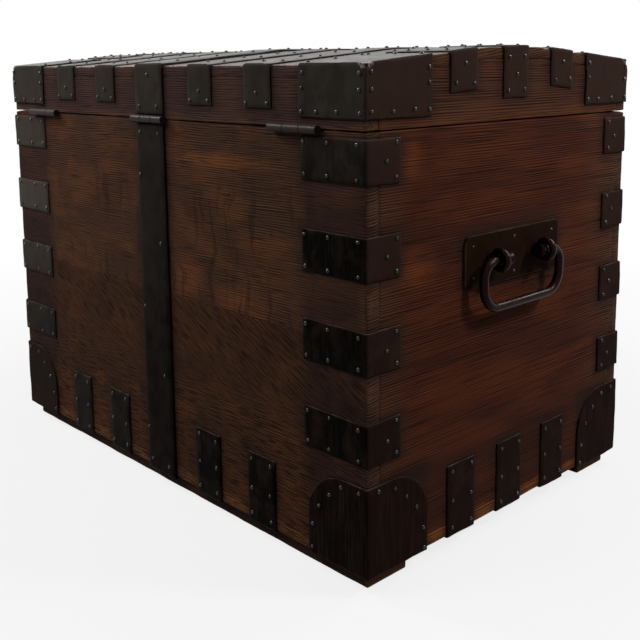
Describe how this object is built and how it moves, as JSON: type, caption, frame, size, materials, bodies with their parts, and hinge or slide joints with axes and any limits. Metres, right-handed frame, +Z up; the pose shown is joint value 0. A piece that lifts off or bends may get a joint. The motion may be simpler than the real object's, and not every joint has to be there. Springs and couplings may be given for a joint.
{
  "type": "silver chest",
  "caption": "Oak silver chest with a canted hinged lid, bound in folded black iron straps and corner shoes, with drop handles at its ends and a link-plate lock.",
  "frame": {"origin": "middle of the footprint, on the floor under the runners", "axes": "+X along the length towards the right end, +Y towards the hinges at the back, +Z up"},
  "size_m": [0.8306, 0.5141, 0.5853],
  "materials": {
    "oak": "waxed, weathered",
    "oak_top": "worn, dusty",
    "oak_inside": "bare",
    "black_iron": "blackened satin",
    "worn_iron": "rubbed bright"
  },
  "bodies": {
    "carcase": {"back_panel": "oak", "front_panel": "oak", "left_end_panel": "oak", "right_end_panel": "oak", "bottom_board": "oak_inside", "back_runner": "oak", "front_runner": "oak", "corner_strap_back_left_1": "black_iron", "corner_strap_back_left_2": "black_iron", "corner_strap_back_left_3": "black_iron", "corner_strap_back_left_4": "black_iron", "corner_strap_back_right_1": "black_iron", "corner_strap_back_right_2": "black_iron", "corner_strap_back_right_3": "black_iron", "corner_strap_back_right_4": "black_iron", "corner_strap_front_left_1": "black_iron", "corner_strap_front_left_2": "black_iron", "corner_strap_front_left_3": "black_iron", "corner_strap_front_left_4": "black_iron", "corner_strap_front_right_1": "black_iron", "corner_strap_front_right_2": "black_iron", "corner_strap_front_right_3": "black_iron", "corner_strap_front_right_4": "black_iron", "corner_shoe_back_left": "black_iron", "corner_shoe_back_right": "black_iron", "corner_shoe_front_left": "black_iron", "corner_shoe_front_right": "black_iron", "bottom_band_far_left": "black_iron", "bottom_band_left": "black_iron", "bottom_band_right": "black_iron", "bottom_band_far_right": "black_iron", "hinge_strap_lower": "black_iron", "side_hinge_left_lower_leaf": "black_iron", "side_hinge_right_lower_leaf": "black_iron", "hinge_pin_left": "black_iron", "hinge_pin_centre": "black_iron", "hinge_pin_right": "black_iron", "left_handle_plate": "black_iron", "right_handle_plate": "black_iron", "lock_case": "black_iron"},
    "lid": {"lid_top": "oak_top", "lid_back_rail": "oak", "lid_front_rail": "oak", "lid_left_end": "oak", "lid_right_end": "oak", "lid_corner_back_left": "black_iron", "lid_corner_back_right": "black_iron", "lid_corner_front_left": "black_iron", "lid_corner_front_right": "black_iron", "lid_band_far_left": "black_iron", "lid_band_left": "black_iron", "lid_band_right": "black_iron", "lid_band_far_right": "black_iron", "hinge_strap_upper": "black_iron", "side_hinge_left_upper_leaf": "black_iron", "side_hinge_right_upper_leaf": "black_iron", "lock_link_plate": "black_iron"},
    "left_bail": {"left_bail": "worn_iron"},
    "right_bail": {"right_bail": "worn_iron"},
    "lock_bolt": {"lock_bolt": "worn_iron"}
  },
  "joints": [
    {"name": "lid_hinge", "type": "hinge", "parent": "carcase", "child": "lid", "pos_m": [0, 0.2553, 0.497], "axis": [-1, 0, 0], "range_deg": [0, 100]},
    {"name": "left_handle_swing", "type": "hinge", "parent": "carcase", "child": "left_bail", "pos_m": [-0.4008, 0, 0.339], "axis": [0, 1, 0], "range_deg": [-10, 180]},
    {"name": "right_handle_swing", "type": "hinge", "parent": "carcase", "child": "right_bail", "pos_m": [0.4008, 0, 0.339], "axis": [0, -1, 0], "range_deg": [-10, 180]},
    {"name": "lock_bolt_slide", "type": "slide", "parent": "carcase", "child": "lock_bolt", "axis": [-1, 0, 0], "range_m": [0, 0.01]}
  ]
}
